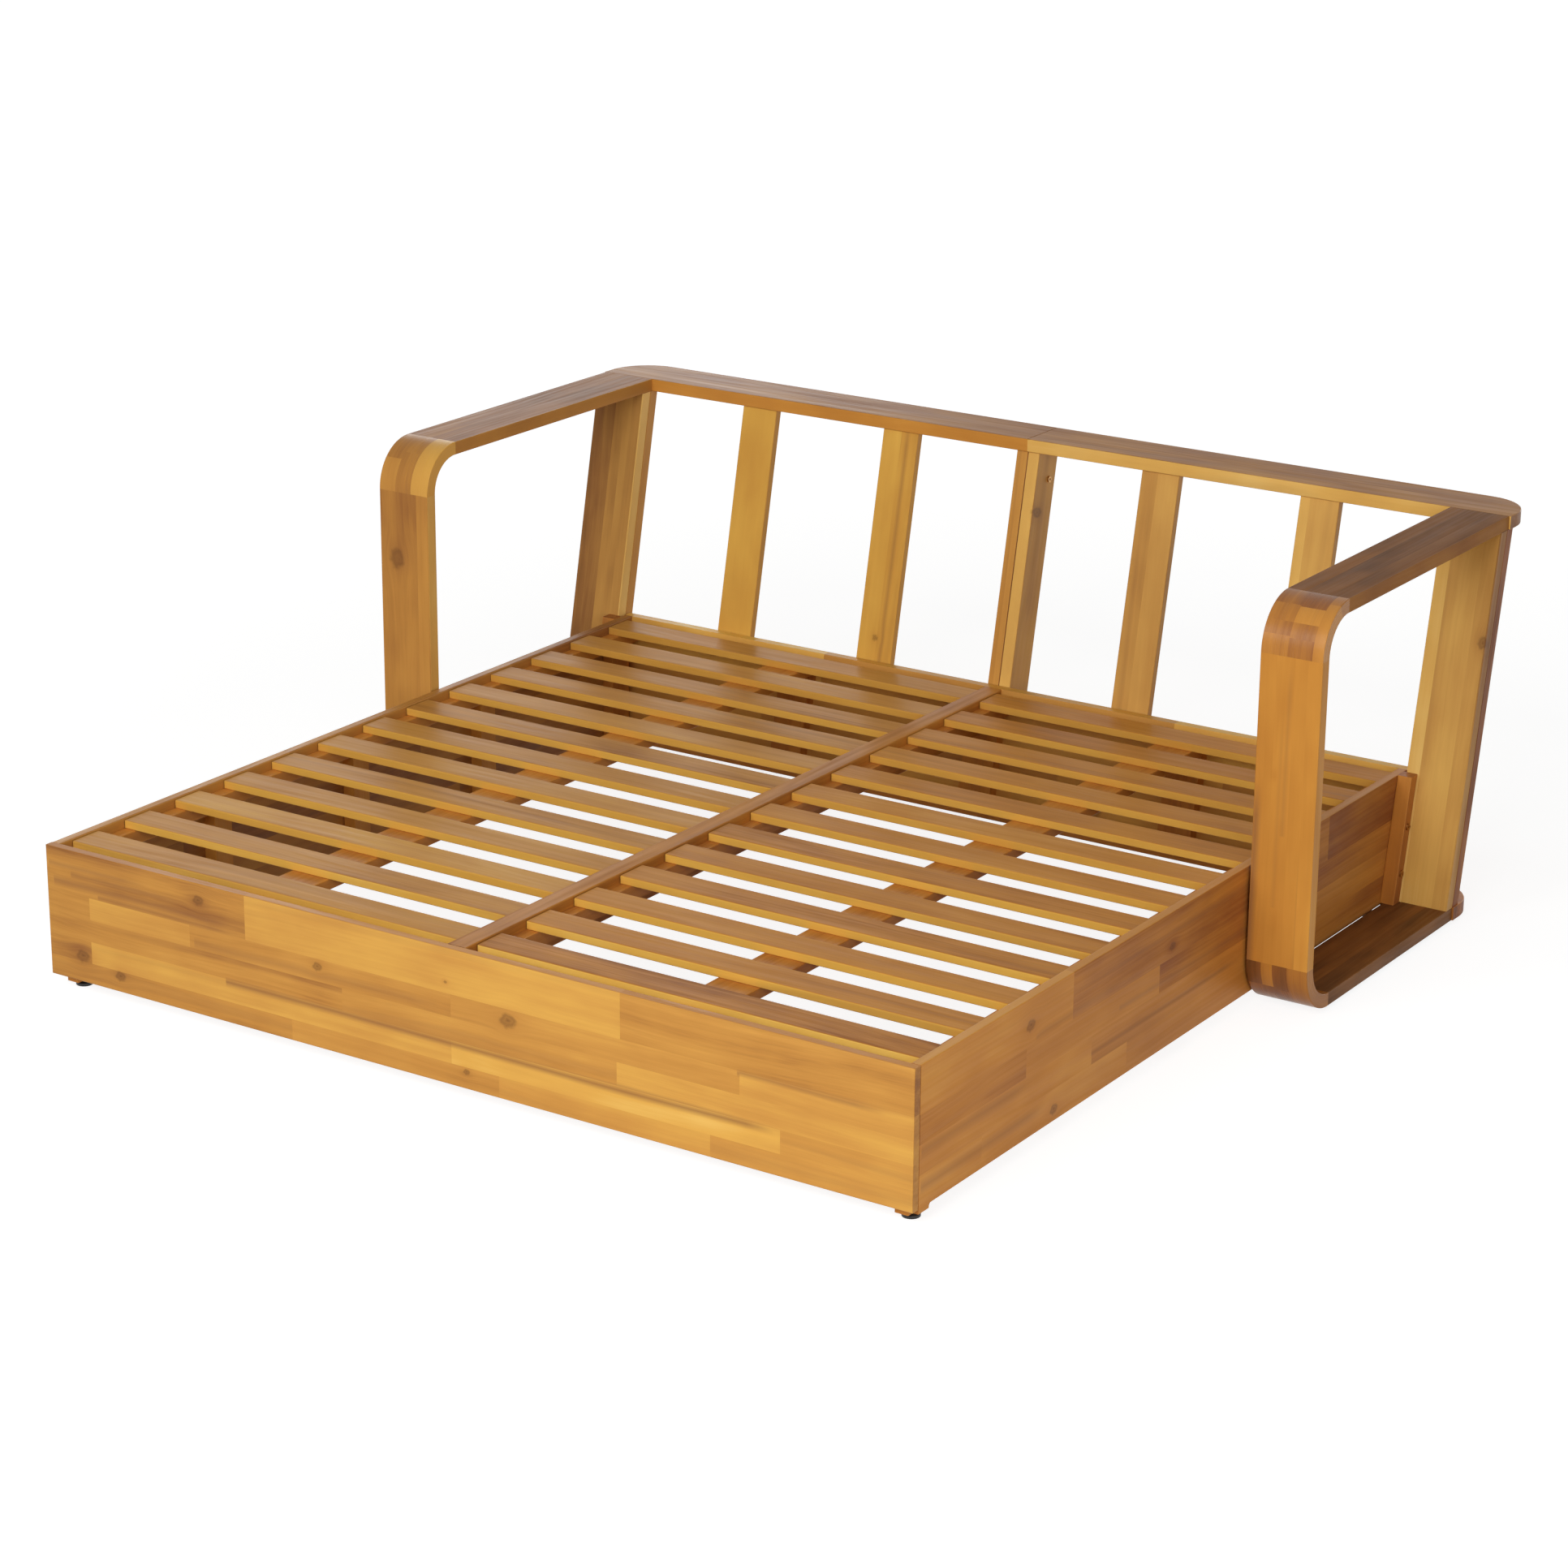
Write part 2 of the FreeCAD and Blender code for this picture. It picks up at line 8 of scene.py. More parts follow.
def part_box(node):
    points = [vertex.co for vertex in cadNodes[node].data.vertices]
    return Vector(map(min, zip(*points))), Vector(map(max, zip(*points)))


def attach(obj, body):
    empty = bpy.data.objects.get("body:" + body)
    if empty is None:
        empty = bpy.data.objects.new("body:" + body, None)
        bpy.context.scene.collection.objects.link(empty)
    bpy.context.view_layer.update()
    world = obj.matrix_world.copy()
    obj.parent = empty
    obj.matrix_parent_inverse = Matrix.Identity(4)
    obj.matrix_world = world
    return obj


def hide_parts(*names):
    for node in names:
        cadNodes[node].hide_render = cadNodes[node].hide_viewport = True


# Outdoor daybed in oiled acacia: staves, grain and knots are drawn in the materials, board by board.

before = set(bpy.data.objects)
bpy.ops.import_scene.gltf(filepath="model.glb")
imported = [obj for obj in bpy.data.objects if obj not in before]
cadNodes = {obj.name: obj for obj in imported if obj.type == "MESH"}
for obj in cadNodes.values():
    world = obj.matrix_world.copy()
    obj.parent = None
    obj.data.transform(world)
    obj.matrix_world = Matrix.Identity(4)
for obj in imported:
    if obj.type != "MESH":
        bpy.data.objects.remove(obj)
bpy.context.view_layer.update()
print("frame loaded,", len(cadNodes), "pieces")

mm = 0.001
backLean = 11.5    # degrees, as the back and the arms' rear posts lean
noiseMiddle = 0.5  # a noise texture swings round this level
weld = 0.01 * mm   # points nearer than this are merged


def linear(hexCode):
    channels = [int(hexCode[start:start + 2], 16) / 255 for start in (1, 3, 5)]
    return [c / 12.92 if c <= 0.04045 else ((c + 0.055) / 1.055) ** 2.4 for c in channels] + [1.0]


def grey(level):
    return (level, level, level, 1)


def addNode(tree, kind, inputs=None, **settings):
    node = tree.nodes.new("ShaderNode" + kind)
    for name, value in settings.items():
        setattr(node, name, value)
    for key, value in (inputs or {}).items():
        if isinstance(value, bpy.types.Node):
            value = value.outputs[0]
        if isinstance(value, bpy.types.NodeSocket):
            tree.links.new(value, node.inputs[key])
        else:
            node.inputs[key].default_value = value
    return node


def newMaterial(name):
    material = bpy.data.materials.new(name)
    material.use_nodes = True
    material.node_tree.nodes.clear()
    return material, material.node_tree


def fillRamp(ramp, stops, constant=False):
    ramp.color_ramp.interpolation = "CONSTANT" if constant else "LINEAR"
    elements = ramp.color_ramp.elements
    elements.remove(elements[1])
    elements[0].position = stops[0][0]
    elements[0].color = stops[0][1]
    for place, colour in stops[1:]:
        elements.new(place).color = colour


# Oiled acacia: plantation wood planed, edge-glued from narrow staves and oiled to a satin sheen.
# The eye sees staves of different tone, soft streaks along the grain, dark heart lines and a few knots.
acacia = {
    "hues": {
        "golden": [(0.0, "#6a4526"), (0.22, "#9c6634"), (0.45, "#c28840"), (0.62, "#cf9547"),
                   (0.82, "#e0aa50"), (1.0, "#eec268")],
        "russet": [(0.0, "#5e351a"), (0.22, "#92552a"), (0.45, "#bd7a34"), (0.62, "#cc883b"),
                   (0.82, "#de9e47"), (1.0, "#ecb85f")],
        "honey": [(0.0, "#674423"), (0.22, "#9c6930"), (0.45, "#c28b3c"), (0.62, "#d19a44"),
                  (0.82, "#e1ae4e"), (1.0, "#efc564")],
        "amber": [(0.0, "#633d1f"), (0.22, "#975d2c"), (0.45, "#c08036"), (0.62, "#ce8e3d"),
                  (0.82, "#dfa348"), (1.0, "#edbd60")],
        "straw": [(0.0, "#6c492a"), (0.22, "#9e6c3a"), (0.45, "#c48f49"), (0.62, "#d29e52"),
                  (0.82, "#e3b25d"), (1.0, "#f0c775")],
    },
    # Figure of the wood, widths and lengths in mm
    "band": {"width": 24, "length": 700, "detail": 2.0, "gain": 0.42},   # broad light and dark bands
    "streak": {"width": 6.0, "length": 340, "detail": 3.0, "gain": 0.2},  # growth streaks
    "pore": {"width": 2.4, "length": 46, "detail": 1.0, "gain": 0.12},   # coarser than real pores, to show
    "blotch": {"width": 75, "length": 170, "detail": 2.0, "gain": 0.4},  # where the fibres turn to the light
    "heart": {"width": 30, "length": 1300, "detail": 1.5, "levels": (0.6, 0.74), "amount": 0.32,
              "colour": "#8f5f3a"},
    "depthStretch": 0.6,  # figure is this much finer across the board than into it
    "staveShift": (57.0, 11.0, 7.0), "boardShift": (3.7, 1.3, 0.7),  # m, each stave is cut from its own place
    "wander": 42, "wanderScale": (1.5, 5.0, 5.0),  # mm that a grain line strays, and its waves to the metre
    "plain": {"tones": (0.4, 0.8), "figure": (1.05, 0.35)},  # pale sapwood shows less figure than dark wood
    "endGrain": {"facing": (0.75, 0.97), "drop": -0.22},  # it drinks more oil and goes darker
    "narrowFace": (0.7, 0.95),  # how squarely a face looks along an axis, from not at all to fully
    "vein": {"stray": 12, "start": 2, "fade": 60},  # mm
    "knot": {
        "colour": "#5c3a22", "oval": (0.72, 1.0, 0.4), "shade": -0.12,  # longer along the grain and inwards
        "ragged": 1.5, "grit": 0.8, "detail": 4.0, "reach": 1.5,        # an uneven edge, out to 1.5 radii
        "rings": [(0.0, 0.66), (0.15, 0.5), (0.32, 0.34), (0.46, 0.42), (0.6, 0.48), (0.74, 0.28),
                  (0.88, 0.08), (1.0, 0.0)],
        "parting": -0.8, "closing": -0.16,                              # how the grain runs round it
    },
    "roughness": (0.36, 0.5), "roughLevels": (0.35, 0.65), "ior": 1.47, "gloss": 0.13,
    "relief": {"pores": 0.5, "strength": 0.12, "height": 0.5},  # height in mm
}


def staveTone(tree, along, across, rows, box):
    # A row across the board is (low edge, tone), or (low edge, [(start, tone), ...]) with staves end to end.
    alongLow, alongHigh, acrossLow, acrossHigh = box
    if not isinstance(rows[0][1], list):
        span = acrossHigh - acrossLow
        share = addNode(tree, "MapRange", {0: across, 1: acrossLow * mm, 2: acrossHigh * mm})
        ramp = addNode(tree, "ValToRGB", {0: share})
        stops = [(max(0, (low - acrossLow) / span), grey(tone)) for low, tone in rows]
        fillRamp(ramp, stops, constant=True)
        return ramp
    span = alongHigh - alongLow
    share = addNode(tree, "MapRange", {0: along, 1: alongLow * mm, 2: alongHigh * mm})
    result = None
    for low, staves in rows:
        ramp = addNode(tree, "ValToRGB", {0: share})
        stops = [(max(0, (start - alongLow) / span), grey(tone)) for start, tone in staves]
        fillRamp(ramp, stops, constant=True)
        if result is None:
            result = ramp
        else:
            above = addNode(tree, "Math", {0: across, 1: low * mm}, operation="GREATER_THAN")
            result = addNode(tree, "Mix", {0: above, 2: result, 3: ramp})
    return result


def grainAxes(tree, board):
    # The board's own directions: along the grain, across it and through the thickness.
    place = addNode(tree, "TexCoord")
    point = place.outputs["Object"]
    if "arc" in board:
        yMiddle, zMiddle, radius = board["arc"]
        point = addNode(tree, "Mapping", {0: point, 1: (0, -yMiddle * mm, -zMiddle * mm)})
        axes = addNode(tree, "SeparateXYZ", {0: point})
        angle = addNode(tree, "Math", {0: axes.outputs[2], 1: axes.outputs[1]}, operation="ARCTAN2")
        along = addNode(tree, "Math", {0: angle, 1: radius * mm}, operation="MULTIPLY")
        flat = addNode(tree, "CombineXYZ", {1: axes.outputs[1], 2: axes.outputs[2]})
        deep = addNode(tree, "VectorMath", {0: flat}, operation="LENGTH")
        return along, axes.outputs[0], deep.outputs["Value"], None
    if board.get("lean"):
        point = addNode(tree, "Mapping", {0: point, 2: (radians(backLean), 0, 0)})
    axes = addNode(tree, "SeparateXYZ", {0: point})
    letters = board["along"] + board["across"]
    third = next(letter for letter in "xyz" if letter not in letters)
    along, across, deep = (axes.outputs["xyz".index(letter)] for letter in letters + third)
    facing = addNode(tree, "SeparateXYZ", {0: place.outputs["Normal"]})
    end = addNode(tree, "Math", {0: facing.outputs["xyz".index(board["along"])]}, operation="ABSOLUTE")
    return along, across, deep, end


def knotsIn(tree, along, across, deep, knots):
    # Each knot is (along, across, deep, radius) in mm: soft rings round a dark heart, in parted grain.
    style = acacia["knot"]
    dark = halo = None
    for *middle, radius in knots:
        here = addNode(tree, "CombineXYZ", {0: along, 1: across, 2: deep})
        middle = [value * mm for value in middle]
        away = addNode(tree, "VectorMath", {0: here, 1: middle}, operation="SUBTRACT")
        shape = [share / (radius * mm) for share in style["oval"]]
        oval = addNode(tree, "VectorMath", {0: away, 1: shape}, operation="MULTIPLY")
        far = addNode(tree, "VectorMath", {0: oval}, operation="LENGTH").outputs["Value"]
        uneven = addNode(tree, "TexNoise", {"Vector": oval, "Scale": style["grit"],
                                            "Detail": style["detail"]})
        uneven = addNode(tree, "Math", {0: uneven, 1: noiseMiddle}, operation="SUBTRACT")
        edge = addNode(tree, "Math", {0: uneven, 1: style["ragged"], 2: far}, operation="MULTIPLY_ADD")
        square = addNode(tree, "Math", {0: far, 1: 2.0}, operation="POWER")
        drop = addNode(tree, "Math", {0: square, 1: style["closing"]}, operation="MULTIPLY")
        near = addNode(tree, "Math", {0: drop}, operation="EXPONENT")
        sideways = addNode(tree, "SeparateXYZ", {0: away}).outputs[1]
        pull = addNode(tree, "Math", {0: sideways, 1: near}, operation="MULTIPLY")
        across = addNode(tree, "Math", {0: pull, 1: style["parting"], 2: across}, operation="MULTIPLY_ADD")
        share = addNode(tree, "MapRange", {0: edge, 1: 0.0, 2: style["reach"]})
        rings = addNode(tree, "ValToRGB", {0: share})
        fillRamp(rings, [(place, grey(amount)) for place, amount in style["rings"]])
        if dark is None:
            dark, halo = rings.outputs[0], near
        else:
            dark = addNode(tree, "Math", {0: dark, 1: rings}, operation="MAXIMUM")
            halo = addNode(tree, "Math", {0: halo, 1: near}, operation="MAXIMUM")
    return across, dark, halo


def ownGrain(tree, along, across, deep, tone, seed):
    # Every stave comes from another place in the wood, and its grain lines stray a little.
    here = addNode(tree, "CombineXYZ", {0: along, 1: across, 2: deep})
    cut = addNode(tree, "CombineXYZ", {0: tone, 1: tone, 2: tone})
    boardShift = [seed * step for step in acacia["boardShift"]]
    cut = addNode(tree, "VectorMath", {0: cut, 1: acacia["staveShift"], 2: boardShift},
                  operation="MULTIPLY_ADD")
    own = addNode(tree, "VectorMath", {0: here, 1: cut}, operation="ADD")
    slow = addNode(tree, "VectorMath", {0: own, 1: acacia["wanderScale"]}, operation="MULTIPLY")
    stray = addNode(tree, "TexNoise", {"Vector": slow, "Scale": 1.0, "Detail": 1.0})
    stray = addNode(tree, "Math", {0: stray, 1: noiseMiddle}, operation="SUBTRACT")
    bend = addNode(tree, "CombineXYZ", {1: stray, 2: stray})
    reach = acacia["wander"] * mm
    own = addNode(tree, "VectorMath", {0: bend, 1: (0, reach, reach), 2: own}, operation="MULTIPLY_ADD")
    return own, stray


def grainNoise(tree, own):
    # One noise for each kind of figure, stretched along the grain
    noises = {}
    for kind in ("band", "streak", "pore", "blotch", "heart"):
        style = acacia[kind]
        width = style["width"] * mm
        scale = (1 / (style["length"] * mm), 1 / width, acacia["depthStretch"] / width)
        spread = addNode(tree, "VectorMath", {0: own, 1: scale}, operation="MULTIPLY")
        noises[kind] = addNode(tree, "TexNoise", {"Vector": spread, "Scale": 1.0, "Detail": style["detail"]})
    return noises


def figuredTone(tree, board, tone, noises, plain):
    total = tone
    for kind in ("band", "streak", "pore", "blotch"):
        gain = acacia[kind]["gain"]
        swing = addNode(tree, "Math", {0: noises[kind], 1: noiseMiddle}, operation="SUBTRACT")
        if kind != "blotch":
            gain *= board.get("figure", 1.0)
            swing = addNode(tree, "Math", {0: swing, 1: plain}, operation="MULTIPLY")
        total = addNode(tree, "Math", {0: swing, 1: gain, 2: total}, operation="MULTIPLY_ADD")
    return total


def slowChanges(tree, board, total, along, deep, end, halo):
    # Darker round knots and on end grain, with slopes along the board (fades) or through it (faces, painted
    # shade)
    if halo is not None:
        total = addNode(tree, "Math", {0: halo, 1: acacia["knot"]["shade"], 2: total},
                        operation="MULTIPLY_ADD")
    slopes = [(along, *fade) for fade in board.get("fades", ())]
    slopes += [(deep, *face) for face in board.get("faces", ())]
    for way, start, stop, lift in slopes:
        slope = addNode(tree, "MapRange", {0: way, 1: start * mm, 2: stop * mm, 3: 0.0, 4: lift})
        total = addNode(tree, "Math", {0: total, 1: slope}, operation="ADD")
    if end is not None:
        start, stop = acacia["endGrain"]["facing"]
        sawn = addNode(tree, "MapRange", {0: end, 1: start, 2: stop, 3: 0.0, 4: acacia["endGrain"]["drop"]})
        total = addNode(tree, "Math", {0: total, 1: sawn}, operation="ADD")
    return total


def boardColour(tree, board, total, across):
    colour = addNode(tree, "ValToRGB", {0: total})
    hue = acacia["hues"][board.get("hue", "russet")]
    fillRamp(colour, [(place, linear(code)) for place, code in hue])
    if "edges" not in board:
        return colour
    # Faces that look along one axis have a tone and hue of their own: painted light and shade by which way a
    # face looks.
    letter, keep, lift, paintedFaceHue = board["edges"]
    normal = addNode(tree, "SeparateXYZ", {0: addNode(tree, "TexCoord").outputs["Normal"]})
    facing = addNode(tree, "Math", {0: normal.outputs["xyz".index(letter)]}, operation="ABSOLUTE")
    start, stop = acacia["narrowFace"]
    facing = addNode(tree, "MapRange", {0: facing, 1: start, 2: stop})
    paintedFaceTone = addNode(tree, "Math", {0: total, 1: keep, 2: lift}, operation="MULTIPLY_ADD")
    if "paintedFaceFade" in board:
        start, stop, drop = board["paintedFaceFade"]
        slope = addNode(tree, "MapRange", {0: across, 1: start * mm, 2: stop * mm, 3: 0.0, 4: drop})
        paintedFaceTone = addNode(tree, "Math", {0: paintedFaceTone, 1: slope}, operation="ADD")
    paintedFaceColour = addNode(tree, "ValToRGB", {0: paintedFaceTone})
    fillRamp(paintedFaceColour, [(place, linear(code)) for place, code in acacia["hues"][paintedFaceHue]])
    return addNode(tree, "Mix", {0: facing, 6: colour, 7: paintedFaceColour}, data_type="RGBA").outputs[2]


def heartLines(tree, board, along, across, heart, plain, stray):
    # Dark heart lines, some by chance and some at a board's own places: (start, stop, across, width, amount)
    low, high = acacia["heart"]["levels"]
    lines = addNode(tree, "MapRange", {0: heart, 1: low, 2: high, 3: 0.0, 4: acacia["heart"]["amount"]})
    lines = addNode(tree, "Math", {0: lines, 1: plain}, operation="MULTIPLY")
    style = acacia["vein"]
    for start, stop, middle, width, amount in board.get("veins", ()):
        aside = addNode(tree, "Math", {0: across, 1: middle * mm}, operation="SUBTRACT")
        aside = addNode(tree, "Math", {0: stray, 1: style["stray"] * mm, 2: aside}, operation="MULTIPLY_ADD")
        aside = addNode(tree, "Math", {0: aside}, operation="ABSOLUTE")
        slim = addNode(tree, "MapRange", {0: aside, 1: width * mm, 2: 0.0, 3: 0.0, 4: amount})
        after = addNode(tree, "MapRange", {0: along, 1: start * mm, 2: (start + style["start"]) * mm})
        before = addNode(tree, "MapRange", {0: along, 1: stop * mm, 2: (stop - style["fade"]) * mm})
        slim = addNode(tree, "Math", {0: slim, 1: after}, operation="MULTIPLY")
        slim = addNode(tree, "Math", {0: slim, 1: before}, operation="MULTIPLY")
        lines = addNode(tree, "Math", {0: lines, 1: slim}, operation="MAXIMUM")
    return lines


def oiledAcacia(name, board, seed, box):
    material, tree = newMaterial("oiled acacia " + name)
    along, across, deep, end = grainAxes(tree, board)
    tone = staveTone(tree, along, across, board["rows"], box)
    across, knot, halo = knotsIn(tree, along, across, deep, board.get("knots", ()))
    own, stray = ownGrain(tree, along, across, deep, tone, seed)
    noises = grainNoise(tree, own)
    darkTone, paleTone = acacia["plain"]["tones"]
    strong, faint = acacia["plain"]["figure"]
    plain = addNode(tree, "MapRange", {0: tone, 1: darkTone, 2: paleTone, 3: strong, 4: faint})
    total = figuredTone(tree, board, tone, noises, plain)
    total = slowChanges(tree, board, total, along, deep, end, halo)
    colour = boardColour(tree, board, total, across)
    lines = heartLines(tree, board, along, across, noises["heart"], plain, stray)
    heartColour = linear(acacia["heart"]["colour"])
    colour = addNode(tree, "Mix", {0: lines, 6: colour, 7: heartColour}, data_type="RGBA").outputs[2]
    if knot is not None:
        knotColour = linear(acacia["knot"]["colour"])
        colour = addNode(tree, "Mix", {0: knot, 6: colour, 7: knotColour}, data_type="RGBA").outputs[2]
    smooth, dull = board.get("roughness", acacia["roughness"])
    low, high = acacia["roughLevels"]
    rough = addNode(tree, "MapRange", {0: noises["streak"], 1: low, 2: high, 3: dull, 4: smooth})
    relief = acacia["relief"]
    surface = addNode(tree, "Math", {0: noises["pore"], 1: relief["pores"], 2: noises["streak"]},
                      operation="MULTIPLY_ADD")
    bump = addNode(tree, "Bump", {"Height": surface, "Strength": relief["strength"],
                                  "Distance": relief["height"] * mm})
    shader = addNode(tree, "BsdfPrincipled", {
        "Base Color": colour, "Roughness": rough, "Normal": bump, "IOR": acacia["ior"],
        "Specular IOR Level": board.get("gloss", acacia["gloss"]),
    })
    addNode(tree, "OutputMaterial", {0: shader})
    return material
